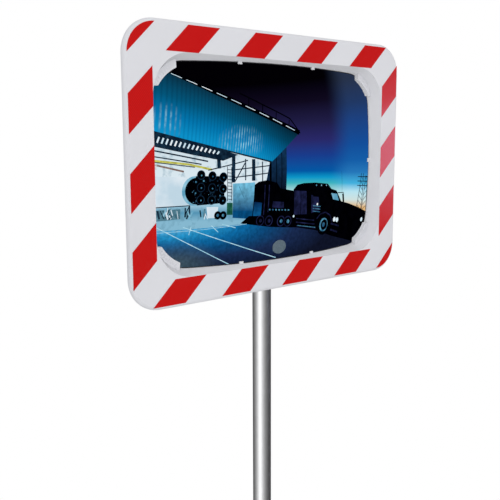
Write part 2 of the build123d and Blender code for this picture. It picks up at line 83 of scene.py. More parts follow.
class Tree:
    """Short names for the nodes that the finishes are made of."""

    def __init__(self, tree):
        self.tree = tree

    def math(self, operation, a, b=0.0, c=0.0):
        return node(self.tree, "Math", {0: a, 1: b, 2: c}, operation=operation).outputs[0]

    def remap(self, value, low, high, start=0.0, end=1.0):
        sockets = {"Value": value, "From Min": start, "From Max": end,
                   "To Min": low, "To Max": high}
        return node(self.tree, "MapRange", sockets).outputs["Result"]

    def ramp(self, fac, stops, ease="LINEAR"):
        made = node(self.tree, "ValToRGB", {"Fac": fac})
        made.color_ramp.interpolation = ease
        while len(made.color_ramp.elements) < len(stops):
            made.color_ramp.elements.new(0.5)
        for element, (place, colour) in zip(made.color_ramp.elements, stops):
            element.position = place
            element.color = (*colour, 1.0)
        return made.outputs["Color"]

    def mask(self, fac, low, high, ease="LINEAR"):
        """Black up to one value, white from another."""
        return self.ramp(fac, [(low, grey(0.0)), (high, grey(1.0))], ease)

    def mix(self, fac, a, b, blend="MIX"):
        made = node(self.tree, "Mix", {}, data_type="RGBA", blend_type=blend)
        for index, value in ((0, fac), (6, a), (7, b)):
            if isinstance(value, bpy.types.NodeSocket):
                self.tree.links.new(value, made.inputs[index])
            elif index:
                made.inputs[index].default_value = (*value, 1.0)
            else:
                made.inputs[index].default_value = value
        return made.outputs[2]


class Finish(Tree):
    """A Principled material whose pattern coordinates are metres in the row frame."""

    def __init__(self, name, **shader):
        self.material = bpy.data.materials.new(name)
        self.material.use_nodes = True
        super().__init__(self.material.node_tree)
        self.shader = self.tree.nodes["Principled BSDF"]
        for key, value in shader.items():
            self.shader.inputs[key.replace("_", " ")].default_value = value
        self.metres = node(self.tree, "TexCoord").outputs["Object"]

    def stretched(self, x, y, z, turn=(0, 0, 0)):
        sockets = {"Vector": self.metres, "Scale": (x, y, z), "Rotation": turn}
        return node(self.tree, "Mapping", sockets).outputs["Vector"]

    def noise(self, scale, detail=2.0, rough=0.5, coords=None):
        sockets = {"Vector": coords or self.metres, "Scale": scale,
                   "Detail": detail, "Roughness": rough}
        return node(self.tree, "TexNoise", sockets).outputs["Fac"]

    def cells(self, scale, feature="F1", output="Distance", coords=None):
        sockets = {"Vector": coords or self.metres, "Scale": scale}
        return node(self.tree, "TexVoronoi", sockets, feature=feature).outputs[output]

    def bump(self, height, distance, strength=1.0, under=None):
        sockets = {"Height": height, "Distance": distance, "Strength": strength}
        if under:
            sockets["Normal"] = under
        return node(self.tree, "Bump", sockets).outputs["Normal"]

    def wear(self, colour=None, rough=None, normal=None):
        for key, value in (("Base Color", colour), ("Roughness", rough), ("Normal", normal)):
            if value:
                self.tree.links.new(value, self.shader.inputs[key])
        return self.material


def moulded(name, colour, rough, grain, soiling, **shader):
    """Moulded plastic: a fine tool grain, a slow drift in tone, faint dust and handling marks."""
    f = Finish(name, **shader)
    tone = f.ramp(f.noise(9.0, 3.0), [(0.3, shade(colour, 0.975)), (0.7, shade(colour, 1.015))])
    dust = f.mask(f.noise(38.0, 6.0, 0.65), 0.52, 0.82)
    colour_out = f.mix(f.math("MULTIPLY", dust, soiling), tone, shade(colour, 0.72))
    scuffs = f.noise(420.0, 3.0, 0.6, f.stretched(1.0, 1.0, 0.12, (0, 0.5, 0)))
    rough_out = f.math("ADD", f.remap(scuffs, rough - 0.05, rough + 0.07),
                       f.math("MULTIPLY", dust, 0.08))
    pebble = f.bump(f.cells(900.0), grain, 0.5)
    ripple = f.bump(f.noise(24.0, 1.0), 0.00022, 0.35, pebble)
    return f.wear(colour_out, rough_out, ripple)


def galvanised(name, colour, rough, spangle, along=1.0, depth=1.0):
    """Hot-dip zinc: a crystal spangle, dull runs and a slightly uneven skin."""
    f = Finish(name, Metallic=1.0)
    coords = f.stretched(1.0, 1.0, along)
    crystal = f.cells(spangle, output="Color", coords=coords)
    facet = node(f.tree, "SeparateColor", {"Color": crystal}).outputs[0]
    dull, bright = shade(colour, 1 - 0.10 * depth), shade(colour, 1 + 0.06 * depth)
    tone = f.ramp(facet, [(0.0, dull), (1.0, bright)])
    bloom = f.mask(f.noise(30.0, 5.0, 0.6, coords), 0.45, 0.75)
    colour_out = f.mix(f.math("MULTIPLY", bloom, 0.35 * depth), tone, shade(colour, 0.80))
    rough_out = f.math("ADD", f.remap(facet, rough - 0.05 * depth, rough + 0.05 * depth),
                       f.math("MULTIPLY", bloom, 0.12 * depth))
    seams = f.bump(f.cells(spangle, "DISTANCE_TO_EDGE", coords=coords), 0.00006, 0.25 * depth)
    skin = f.bump(f.noise(260.0, 3.0), 0.00008, 0.35 * depth, seams)
    return f.wear(colour_out, rough_out, skin)


def plated(name, colour, rough):
    """Bright or blackened small fasteners: turning marks and a little grime."""
    f = Finish(name, Metallic=1.0)
    grime = f.mask(f.noise(260.0, 5.0, 0.6), 0.42, 0.78)
    colour_out = f.mix(f.math("MULTIPLY", grime, 0.5), colour, shade(colour, 0.62))
    rough_out = f.remap(grime, rough, rough + 0.22)
    marks = f.bump(f.noise(2600.0, 2.0, 0.6, f.stretched(0.15, 1.0, 1.0)), 0.00004, 0.3)
    return f.wear(colour_out, rough_out, marks)


def soft_black(name, colour, rough, pores, depth):
    """Foam, rubber and dull black parts: pores and a dusty bloom."""
    f = Finish(name, Specular_IOR_Level=0.3)
    bloom = f.noise(70.0, 5.0, 0.6)
    colour_out = f.ramp(bloom, [(0.35, colour), (0.8, shade(colour, 1.9))])
    rough_out = f.remap(bloom, rough - 0.06, rough + 0.05)
    return f.wear(colour_out, rough_out, f.bump(f.cells(pores), depth, 0.6))


def red_film():
    """Retroreflective film: prisms in a fine diamond lattice under a smooth clear face, with
    painted glints.
    """
    colour = (0.60, 0.0035, 0.0035)
    f = Finish("film_red", Specular_IOR_Level=0.05, Coat_Weight=0.4, Coat_Roughness=0.035)
    lattice = None
    for turn in (math.radians(38), math.radians(-38)):
        sockets = {"Vector": f.stretched(1.0, 0.0, 1.0, (0, turn, 0)), "Scale": 95.0}
        bands = node(f.tree, "TexWave", sockets, bands_direction="X").outputs["Fac"]
        lattice = bands if lattice is None else f.math("MULTIPLY", lattice, bands)
    glint = f.cells(900.0, output="Color")
    tone = f.ramp(lattice, [(0.0, shade(colour, 0.90)), (0.30, colour),
                            (1.0, shade(colour, 1.10))])
    # Random prism cells are mixed a little brighter red: painted glints of the prisms.
    fleck = node(f.tree, "SeparateColor", {"Color": glint}).outputs[0]
    tone = f.mix(f.math("MULTIPLY", fleck, 0.10), tone, (0.70, 0.008, 0.006))
    faded = f.mask(f.noise(14.0, 4.0), 0.35, 0.8)
    tone = f.mix(f.math("MULTIPLY", faded, 0.06), tone, (0.66, 0.03, 0.025))
    rough_out = f.remap(f.noise(160.0, 4.0, 0.6), 0.26, 0.42)
    return f.wear(tone, rough_out, f.bump(lattice, 0.00003, 0.25))


def silvered():
    """Silvered acrylic: all but perfect, with faint water marks."""
    f = Finish("acrylic_silvered", Metallic=1.0, Roughness=0.0)
    film = f.ramp(f.noise(16.0, 6.0, 0.7), [(0.50, (0.955, 0.965, 0.97)),
                                            (0.85, (0.915, 0.925, 0.93))])
    return f.wear(film)


def badge():
    f = Finish("badge_grey", Coat_Weight=0.3, Coat_Roughness=0.1)
    tone = f.ramp(f.noise(220.0, 4.0), [(0.3, (0.085, 0.13, 0.165)), (0.7, (0.125, 0.18, 0.22))])
    brushed = f.noise(1800.0, 2.0, 0.6, f.stretched(1.0, 1.0, 0.08))
    return f.wear(tone, f.remap(brushed, 0.3, 0.42), f.bump(brushed, 0.00004, 0.3))


def weld():
    """A weld bead under zinc: heaped ripples with duller valleys."""
    f = Finish("weld_zinc", Metallic=1.0)
    grime = f.noise(180.0, 5.0, 0.6)
    tone = f.ramp(grime, [(0.3, (0.30, 0.31, 0.32)), (0.75, (0.50, 0.51, 0.52))])
    return f.wear(tone, f.remap(grime, 0.42, 0.62), f.bump(f.noise(700.0, 3.0), 0.0002, 0.5))


WHITE = (0.77, 0.775, 0.81)
ZINC = (0.60, 0.61, 0.625)
finishes = {
    "frame_plastic": moulded("plastic_white", WHITE, 0.42, 0.00005, 0.05, Specular_IOR_Level=0.3),
    "cover_plastic": moulded("plastic_cover", (0.72, 0.725, 0.735), 0.48, 0.00014, 0.10),
    "mirror_acrylic": silvered(),
    "foam": soft_black("foam_black", (0.018, 0.018, 0.02), 0.85, 1400.0, 0.0003),
    "badge_plastic": badge(),
    "red_film": red_film(),
    "zinc_steel": plated("zinc_bright", (0.66, 0.67, 0.66), 0.24),
    "galvanised_plate": galvanised("zinc_plate", ZINC, 0.42, 95.0),
    "galvanised_tube": galvanised("zinc_tube", (0.62, 0.625, 0.63), 0.29, 130.0, 0.45, 0.32),
    "fibre": soft_black("fibre_red", (0.16, 0.05, 0.03), 0.7, 2200.0, 0.0001),
    "liner_rubber": soft_black("rubber_black", (0.02, 0.02, 0.02), 0.72, 3000.0, 0.00006),
    "black_steel": plated("oxide_black", (0.05, 0.05, 0.055), 0.34),
    "cap_plastic": moulded("plastic_cap", (0.035, 0.035, 0.038), 0.5, 0.0001, 0.2),
    "weld_metal": weld(),
}

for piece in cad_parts.values():
    for place in piece.material_slots:
        place.material = finishes[place.material.name.split(".")[0]]

# In the photograph the mirror shows the yard alone, so these pieces, which a real pane would
# mirror in part, are hidden from glossy and mirror rays.
NOT_MIRRORED = ("front_frame", "stripes", "corner_", "edge_clips", "badge", "mirror_",
                "cover_screws")
for name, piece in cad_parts.items():
    if name.startswith(NOT_MIRRORED):
        piece.visible_glossy = False


# ---------------------------------------------------------------- pieces

def piece_of(name, mesh, body, slot, *nodes):
    made = bpy.data.objects.new(name, mesh)
    bpy.context.scene.collection.objects.link(made)
    mesh.materials.clear()
    mesh.materials.append(finishes[slot])
    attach(made, body)
    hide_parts(*nodes)
    return made


ON_SPHERE = 0.06 * MM       # how near a corner is to a face's sphere
SAME_POINT = 0.01 * MM
LONGEST_EDGE = 6 * MM
FACE_NOT_EDGE = 0.7         # cosine between a face's normal and the sphere's


def polished_pane():
    """The pane with its two faces divided finely and laid exactly on their spheres."""
    inner = PANE_R - PANE_THICK

    def on_sphere(vert):
        """The radius of the face that a corner lies on, or 0."""
        reach = (vert.co - PANE_CENTRE).length
        for radius in (PANE_R, inner):
            if abs(reach - radius) < ON_SPHERE:
                return radius
        return 0

    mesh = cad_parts["mirror_pane"].data.copy()
    shape = bmesh.new()
    shape.from_mesh(mesh)
    bmesh.ops.remove_doubles(shape, verts=shape.verts, dist=SAME_POINT)
    broad = [e for e in shape.edges if all(on_sphere(v) for v in e.verts)
             and on_sphere(e.verts[0]) == on_sphere(e.verts[1])]
    rim = {e for e in broad
           if len({on_sphere(v) == PANE_R for f in e.link_faces for v in f.verts}) > 1}
    cut = [e for e in broad if e not in rim and e.calc_length() > LONGEST_EDGE]
    bmesh.ops.subdivide_edges(shape, edges=cut, cuts=2, use_grid_fill=True)
    for vert in shape.verts:
        radius = on_sphere(vert)
        if not radius:
            reach = (vert.co - PANE_CENTRE).length
            radius = PANE_R if abs(reach - PANE_R) < abs(reach - inner) else inner
        vert.co = PANE_CENTRE + (vert.co - PANE_CENTRE).normalized() * radius
    shape.to_mesh(mesh)
    shape.free()
    normals = []
    for face in mesh.polygons:
        face.use_smooth = True
        for index in face.vertices:
            outward = (mesh.vertices[index].co - PANE_CENTRE).normalized()
            along = outward.dot(face.normal)
            smooth = outward * math.copysign(1, along)
            normals.append(face.normal if abs(along) < FACE_NOT_EDGE else smooth)
    mesh.normals_split_custom_set(normals)
    pane = piece_of("pane_polished", mesh, "head", "mirror_acrylic", "mirror_pane")
    pane.visible_glossy = False


polished_pane()


# ---------------------------------------------------------------- what the mirror looks out on

def facing(azimuth, elevation, distance=1.0):
    """A direction from the mirror: azimuth from straight ahead (-Y) towards +X, in degrees."""
    a, e = math.radians(azimuth), math.radians(elevation)
    return distance * Vector((math.sin(a) * math.cos(e), -math.cos(a) * math.cos(e), math.sin(e)))


class Yard(Tree):
    """A glowing finish that only a true mirror sees; every other ray passes through."""

    def __init__(self, name):
        self.material = bpy.data.materials.new(name)
        self.material.use_nodes = True
        super().__init__(self.material.node_tree)
        self.tree.nodes.clear()
        place = node(self.tree, "TexCoord").outputs["Object"]
        unit = node(self.tree, "VectorMath", {0: place}, operation="NORMALIZE").outputs[0]
        part = node(self.tree, "SeparateXYZ", {0: unit})
        ahead = self.math("MULTIPLY", part.outputs["Y"], -1.0)
        self.place = unit
        self.azimuth = self.math("DEGREES", self.math("ARCTAN2", part.outputs["X"], ahead))
        self.elevation = self.math("DEGREES", self.math("ARCSINE", part.outputs["Z"]))

    def noise(self, scale, detail=4.0):
        sockets = {"Vector": self.place, "Scale": scale, "Detail": detail}
        return node(self.tree, "TexNoise", sockets).outputs["Fac"]

    def reach(self, azimuth, elevation, wide, tall):
        """How far out a direction is on an ellipse around another: 1 at its edge."""
        across = self.math("DIVIDE", self.math("SUBTRACT", self.azimuth, azimuth), wide)
        up = self.math("DIVIDE", self.math("SUBTRACT", self.elevation, elevation), tall)
        squares = self.math("MULTIPLY_ADD", across, across, self.math("MULTIPLY", up, up))
        return self.math("SQRT", squares)

    def patch(self, azimuth, elevation, wide, tall):
        return self.remap(self.reach(azimuth, elevation, wide, tall), 1.0, 0.0)

    def glow(self, colour):
        emission = node(self.tree, "Emission", {"Color": colour})
        seen = node(self.tree, "LightPath").outputs["Is Singular Ray"]
        clear = node(self.tree, "BsdfTransparent").outputs[0]
        mixed = node(self.tree, "MixShader", {0: seen, 1: clear, 2: emission.outputs[0]})
        output = node(self.tree, "OutputMaterial")
        self.tree.links.new(mixed.outputs[0], output.inputs["Surface"])
        return self.material


def yard_piece(name, points, faces, material):
    mesh = bpy.data.meshes.new(name)
    mesh.from_pydata([tuple(p) for p in points], [], faces)
    mesh.materials.append(material)
    made = bpy.data.objects.new(name, mesh)
    made.location = EYE
    made.visible_camera = made.visible_diffuse = made.visible_shadow = False
    made.visible_transmission = made.visible_volume_scatter = False
    bpy.context.scene.collection.objects.link(made)


LONGEST_CHORD = 0.09        # of a cut-out's edges, as a share of its distance
DISC_SIDES = 28


def card(name, corners, distance, material):
    """A cut-out bent onto a sphere around the mirror, so that nearer ones cover farther ones."""
    shape = bmesh.new()
    shape.faces.new([shape.verts.new(facing(a, e, distance)) for a, e in corners])
    bmesh.ops.triangulate(shape, faces=shape.faces)
    for _ in range(4):
        long_edges = [e for e in shape.edges if e.calc_length() > LONGEST_CHORD * distance]
        bmesh.ops.subdivide_edges(shape, edges=long_edges, cuts=1)
        bmesh.ops.triangulate(shape, faces=shape.faces)
    for vert in shape.verts:
        vert.co = vert.co.normalized() * distance
    points = [v.co.copy() for v in shape.verts]
    shape.verts.index_update()
    faces = [[v.index for v in f.verts] for f in shape.faces]
    shape.free()
    yard_piece(name, points, faces, material)


def bar(name, start, end, width, distance, material):
    """A narrow strip between two directions; its width is in degrees."""
    a, b = facing(*start), facing(*end)
    side = a.cross(b).normalized() * math.radians(width / 2)
    steps = 1 + int(math.degrees(a.angle(b)) / 4)
    points, faces = [], []
    for k in range(steps + 1):
        middle = a.slerp(b, k / steps)
        points += [(middle - side).normalized() * distance, (middle + side).normalized() * distance]
        if k:
            faces.append((2 * k - 2, 2 * k - 1, 2 * k + 1, 2 * k))
    yard_piece(name, points, faces, material)


def disc(name, azimuth, elevation, radius, distance, material):
    turns = [k * math.tau / DISC_SIDES for k in range(DISC_SIDES)]
    corners = [(azimuth + radius * math.cos(t), elevation + radius * math.sin(t)) for t in turns]
    card(name, corners, distance, material)


def shell(name, azimuths, elevations, distance, material):
    """A piece of a sphere around the mirror."""
    points, faces = [], []
    for e in elevations:
        points += [facing(a, e, distance) for a in azimuths]
    wide = len(azimuths)
    for i in range(len(elevations) - 1):
        faces += [(i * wide + j, i * wide + j + 1, (i + 1) * wide + j + 1, (i + 1) * wide + j)
                  for j in range(wide - 1)]
    yard_piece(name, points, faces, material)


def dusk_sky():
    """Night above a last band of light, with a paler haze to the right."""
    y = Yard("yard_sky")
    height = y.remap(y.elevation, 0.0, 1.0, -10.0, 16.0)
    night = y.ramp(height, [
        (0.08, (0.50, 0.78, 0.78)), (0.155, (0.05, 0.47, 0.52)), (0.195, (0.004, 0.32, 0.60)),
        (0.24, (0.001, 0.10, 0.38)), (0.35, (0.010, 0.047, 0.27)), (0.46, (0.023, 0.022, 0.14)),
        (0.58, (0.015, 0.013, 0.062)), (0.73, (0.005, 0.003, 0.013)),
        (0.88, (0.0005, 0.0002, 0.001))])
    haze = y.ramp(height, [
        (0.0, (0.80, 0.48, 0.20)), (0.045, (0.66, 0.78, 0.76)),
        (0.10, (0.50, 0.80, 0.90)), (0.155, (0.06, 0.46, 0.76)),
        (0.23, (0.020, 0.19, 0.50)), (0.31, (0.008, 0.115, 0.40)), (0.42, (0.007, 0.078, 0.33)),
        (0.58, (0.013, 0.055, 0.22)), (0.69, (0.016, 0.041, 0.13)), (0.85, (0.022, 0.034, 0.07))])
    side = y.mask(y.remap(y.azimuth, 0.0, 1.0, 54.0, 61.5), 0.0, 1.0, "EASE")
    return y.glow(y.mix(side, night, haze))


def yard_ground():
    y = Yard("yard_ground")
    # Brightest at the foot of the lit bay and darker away from it: a painted pool of light on the
    # ground. A patch lower down is darker.
    tone = y.ramp(y.reach(12.0, -13.4, 47.0, 11.0), [
        (0.1, (0.30, 0.58, 0.75)), (0.19, (0.075, 0.36, 0.62)), (0.29, (0.018, 0.28, 0.56)),
        (0.43, (0.004, 0.14, 0.36)), (0.56, (0.004, 0.065, 0.19)), (0.72, (0.010, 0.024, 0.08)),
        (0.95, (0.005, 0.007, 0.02))])
    tone = y.mix(y.patch(17.0, -22.5, 11.0, 5.5), tone, (0.05, 0.09, 0.12))
    stone = y.ramp(y.noise(90.0, 5.0), [(0.3, grey(0.75)), (0.7, grey(1.2))])
    return y.glow(y.mix(1.0, tone, stone, "MULTIPLY"))


def corrugated():
    """A sheeted canopy, lit from below; its ribs close up towards the far end."""
    y = Yard("yard_canopy")
    lip = y.math("MULTIPLY_ADD", y.azimuth, -0.234, 7.0)
    eave = y.math("MULTIPLY_ADD", y.azimuth, -0.425, 22.9)
    height = y.math("DIVIDE", y.math("SUBTRACT", y.elevation, lip), y.math("SUBTRACT", eave, lip))
    tone = y.ramp(height, [
        (0.05, (0.004, 0.29, 0.60)), (0.3, (0.001, 0.19, 0.44)), (0.6, (0.001, 0.095, 0.20)),
        (0.95, (0.003, 0.032, 0.062))])
    # Darker towards the far end: painted shade.
    tone = y.mix(1.0, tone, y.remap(y.azimuth, 1.0, 0.6, 34.0, 42.0), "MULTIPLY")
    along = y.math("SUBTRACT", y.math("MULTIPLY_ADD", y.elevation, -0.16, y.azimuth), 12.0)
    phase = y.math("MULTIPLY", along, y.math("MULTIPLY_ADD", along, 0.022, 0.83))
    ribs = y.math("SINE", y.math("MULTIPLY", phase, math.tau))
    lines = y.mix(y.math("MULTIPLY", y.remap(ribs, 0.0, 1.0, -0.2, 1.0), 0.45),
                  grey(1.0), (0.55, 0.6, 0.62))
    dents = y.remap(y.noise(45.0, 3.0), 0.2, 1.0, 0.42, 0.62)
    glare = y.math("MAXIMUM", y.patch(30.5, 2.0, 6.0, 3.6),
                   y.math("MULTIPLY", y.patch(13.5, 6.5, 4.0, 4.0), 0.7))
    lit_ribs = y.math("MULTIPLY", y.remap(ribs, 0.0, 1.0, 0.1, 0.9), glare)
    shine = y.math("MULTIPLY", lit_ribs, dents)
    return y.glow(y.mix(shine, y.mix(1.0, tone, lines, "MULTIPLY"), (0.42, 0.80, 0.92)))


def lit_bay():
    y = Yard("yard_bay")
    tone = y.ramp(y.remap(y.elevation, 0.0, 1.0, -13.5, 4.0), [
        (0.0, (0.25, 0.50, 0.65)), (0.1, (0.09, 0.30, 0.46)), (0.2, (0.40, 0.65, 0.78)),
        (0.4, (0.76, 0.86, 0.92)), (1.0, (0.62, 0.74, 0.80))])
    return y.glow(y.mix(y.remap(y.noise(40.0), 0.0, 0.6, 0.52, 0.7), tone, (0.12, 0.28, 0.38)))


def shaded(name, low, high, foot, head):
    """A flat colour that changes from its foot to its head, both elevations."""
    y = Yard(name)
    tone = y.ramp(y.remap(y.elevation, 0.0, 1.0, foot, head), [(0.0, low), (1.0, high)])
    grime = y.ramp(y.noise(55.0), [(0.35, grey(0.7)), (0.65, grey(1.15))])
    return y.glow(y.mix(1.0, tone, grime, "MULTIPLY"))


def dark(name, low, high, scale):
    y = Yard(name)
    return y.glow(y.ramp(y.noise(scale), [(0.38, low), (0.72, high)]))


def strips(name, lines, width, distance, material):
    for k, (start, end) in enumerate(lines):
        bar(f"{name}_{k}", start, end, width, distance, material)


def chain(name, course, width, distance, material):
    strips(name, list(zip(course, course[1:])), width, distance, material)


CANOPY_START, CANOPY_TIP, CANOPY_LIP_TIP = -24.0, 45.6, 38.0


def eave(azimuth):
    """The elevation of the canopy's upper edge, which sinks towards its far end."""
    return 23.6 - 0.50 * azimuth + 0.00125 * azimuth ** 2


def lip(azimuth):
    """The elevation of its lower edge."""
    return 7.6 - 0.30 * azimuth + 0.0013 * azimuth ** 2


def spread(start, end, parts):
    return [start + (end - start) * k / parts for k in range(parts + 1)]


def canopy(black, steel, lamp):
    upper = [(a, eave(a)) for a in spread(CANOPY_START, CANOPY_TIP, 10)]
    lower = [(a, lip(a)) for a in spread(CANOPY_START, CANOPY_LIP_TIP, 9)]
    card("yard_canopy_face", upper + lower[::-1], 44.0, corrugated())
    chain("yard_canopy_top", upper, 0.9, 43.0, black)
    chain("yard_canopy_lip", lower, 0.3, 43.0, steel)
    for k in range(9):
        a = 15.6 + 3.3 * k
        foot = 15.8 - 0.415 * (a - 15.6)
        bar(f"yard_strip_{k}", (a, foot), (a + 2.3, foot - 0.97), 0.13, 42.0, lamp)
    chain("yard_rail", [(31.0, 11.4), (36.6, 8.9), (43.2, 6.1), (45.8, 3.3)], 0.24, 42.5, black)
    for k in range(4):
        a = 32.8 + 3.3 * k
        foot = 8.5 - 0.43 * (a - 32.8)
        bar(f"yard_rail_post_{k}", (a, foot), (a + 0.3, foot + 2.0 - 0.12 * k), 0.2, 42.5, black)


def bay_frame(steel, black, lamp):
    """The roof, columns and rails seen inside the opening."""
    roof = [(-24, 13), (11.5, 4.2), (24, 1.2), (29.6, -0.4),
            (26.0, -1.5), (19, -0.2), (11.5, 1.4), (-24, 8)]
    card("yard_roof", roof, 47.6, steel)
    for k in range(15):
        a = 11.8 + 0.95 * k
        head = 3.5 - 0.235 * (a - 11.8)
        bar(f"yard_rooflight_{k}", (a, head), (a - 0.5, head - 1.15 + 0.04 * k), 0.36, 47.4, lamp)
    for k in range(4):
        near, far = (-24, 9.0 - 2.0 * k), (24 - 1.5 * k, -1.0 - 0.55 * k)
        bar(f"yard_beam_{k}", near, far, 0.34 - 0.05 * k, 46.9, steel)
    strips("yard_column", [((24.9, -0.2), (25.1, -3.0)), ((28.5, -0.2), (28.5, -5.8)),
                           ((33.4, -1.3), (33.5, -5.5))], 0.85, 46.0, steel)
    strips("yard_post", [((31.4, -1.2), (31.5, -5.4)), ((35.6, -1.8), (35.8, -5.6)),
                         ((28.9, -5.6), (31.3, -2.0))], 0.26, 46.0, steel)
    strips("yard_girt", [((22.5, -3.3), (32.0, -1.5)), ((28.7, -3.3), (37.6, -2.6)),
                         ((28.7, -4.8), (37.6, -4.0))], 0.22, 45.9, steel)
    strips("yard_ladder", [((27.0, -2.6), (27.3, -9.5)), ((28.0, -2.8), (28.3, -9.4))],
           0.15, 45.8, steel)
    for k in range(10):
        a, e = 27.0 + 0.03 * k, -3.2 - 0.65 * k
        bar(f"yard_rung_{k}", (a, e), (a + 1.1, e - 0.1), 0.14, 45.8, steel)
    bar("yard_jamb", (37.7, -1.8), (37.9, -6.0), 0.5, 45.8, black)


def bay_stores(steel, black, white, pale, chrome):
    """A lying tank, a bundle of pipes in front of it and what stands around them."""
    yellow = dark("yard_crane", (0.42, 0.40, 0.05), (0.72, 0.70, 0.16), 60.0)
    brown = dark("yard_crane_low", (0.16, 0.09, 0.08), (0.34, 0.24, 0.20), 60.0)
    slate = dark("yard_pen", (0.05, 0.14, 0.19), (0.14, 0.30, 0.38), 80.0)
    chain("yard_crane", [(-24, 2.5), (11.3, -1.3), (18.3, -2.1), (23.4, -3.2)], 0.42, 46.8, yellow)
    chain("yard_crane_low", [(-24, 1.4), (11.3, -2.2), (17.0, -3.5)], 0.36, 46.7, brown)
    vessel = [(-24, -4.0), (11.5, -4.4), (19.0, -4.7), (19.0, -10.2), (-24, -10.8)]
    card("yard_vessel", vessel, 46.6, white)
    chain("yard_vessel_edge", [(-24, -10.9), (11.5, -10.6), (18.6, -10.3)], 0.2, 46.5, steel)
    disc("yard_vessel_end", 19.6, -7.4, 3.0, 46.4, pale)
    disc("yard_vessel_hollow", 20.0, -7.4, 2.7, 46.3, black)
    bundle = [(19.8, -4.4), (26.2, -4.5), (26.6, -9.8), (20.2, -10.3), (18.2, -7.4)]
    card("yard_bundle", bundle, 46.2, black)
    for k in range(60):
        a, e = random.uniform(18.8, 26.4), random.uniform(-10.0, -4.8)
        tone = (steel, steel, chrome)[k % 3]
        disc(f"yard_fleck_{k}", a, e, random.uniform(0.07, 0.2), 46.1, tone)
    for row in range(3):
        for k in range(3):
            a, e = 20.9 + 2.6 * k, -4.2 - 0.25 * k - 2.5 * row + 0.1 * row * k
            disc(f"yard_pipe_{row}_{k}", a, e, 0.95, 45.0, steel)
            disc(f"yard_pipe_wall_{row}_{k}", a, e, 0.78, 44.9, black)
            disc(f"yard_pipe_glint_{row}_{k}", a + 0.1, e - 0.1, 0.16, 44.8, chrome)
    pen = [(-24, -11.2), (11.5, -11.2), (16.4, -11.0), (16.5, -13.0), (-24, -13.4)]
    card("yard_pen", pen, 45.4, slate)
    for k in range(34):
        a, foot = random.uniform(11.4, 25.0), random.uniform(-13.2, -12.2)
        tone = (steel, black, white, slate, pale)[k % 5]
        lean, rise = random.uniform(-1.0, 1.0), random.uniform(0.7, 2.0)
        width = random.uniform(0.12, 0.4)
        bar(f"yard_store_{k}", (a, foot), (a + lean, foot + rise), width, 45.2, tone)
    card("yard_trolley", [(22.4, -10.6), (25.2, -10.6), (25.0, -12.8), (22.8, -12.9)], 45.1, white)
    green = dark("yard_bin", (0.005, 0.06, 0.04), (0.02, 0.14, 0.08), 60.0)
    card("yard_bin", [(27.2, -9.8), (28.6, -9.8), (28.8, -12.2), (27.4, -12.2)], 45.0, green)
    for k, a in enumerate((25.2, 26.5)):
        disc(f"yard_castor_{k}", a, -12.3, 0.85, 44.7, black)
        disc(f"yard_castor_hub_{k}", a, -12.3, 0.3, 44.6, chrome)


def trailer(black, violet, chrome):
    """A container, a dark tank and a low bed, left of the lorry."""
    box = shaded("yard_container", (0.002, 0.07, 0.20), (0.17, 0.50, 0.70), -11.5, -6.5)
    card("yard_box", [(28.4, -6.0), (33.9, -5.8), (33.9, -13.0), (28.9, -12.8)], 44.4, box)
    bar("yard_box_seam", (30.0, -6.6), (31.4, -9.0), 0.16, 44.3, chrome)
    tank = [(33.8, -13.6), (33.8, -6.3), (34.8, -5.7), (37.0, -5.4),
            (39.6, -5.9), (40.6, -7.0), (41.5, -7.4), (41.6, -12.6)]
    card("yard_tank", tank, 44.0, black)
    glow = shaded("yard_glow", (0.004, 0.11, 0.30), (0.003, 0.02, 0.08), -12.5, -9.5)
    card("yard_tank_glow", [(34.0, -9.6), (36.0, -9.8), (36.0, -12.6), (34.0, -12.6)], 43.9, glow)
    strips("yard_tank_sheen", [((36.5, -6.3), (36.7, -12.2)), ((37.6, -6.3), (37.8, -11.6))],
           0.22, 43.8, violet)
    card("yard_rear", [(40.5, -7.0), (44.8, -7.5), (45.2, -13.0), (40.6, -13.0)], 43.6, black)
    card("yard_hitch", [(38.9, -9.5), (41.8, -9.6), (42.0, -10.8), (38.8, -10.7)], 43.4, violet)
    bed = [(33.0, -12.4), (46.0, -12.0), (46.2, -14.4), (38.8, -14.5), (31.0, -13.9)]
    card("yard_bed", bed, 43.3, black)
    for k in range(7):
        a = 38.0 + 0.85 * k
        bar(f"yard_lamp_row_{k}", (a, -11.1), (a + 0.4, -11.15), 0.26, 43.2, chrome)
    for k, a in enumerate((36.0, 38.3, 41.6, 43.5)):
        disc(f"yard_wheel_{k}", a, -13.3, 1.05, 43.0, violet)
        disc(f"yard_tyre_{k}", a, -13.3, 0.85, 42.95, black)
        disc(f"yard_hub_{k}", a + 0.1, -13.3, 0.36, 42.9, chrome if k > 1 else violet)


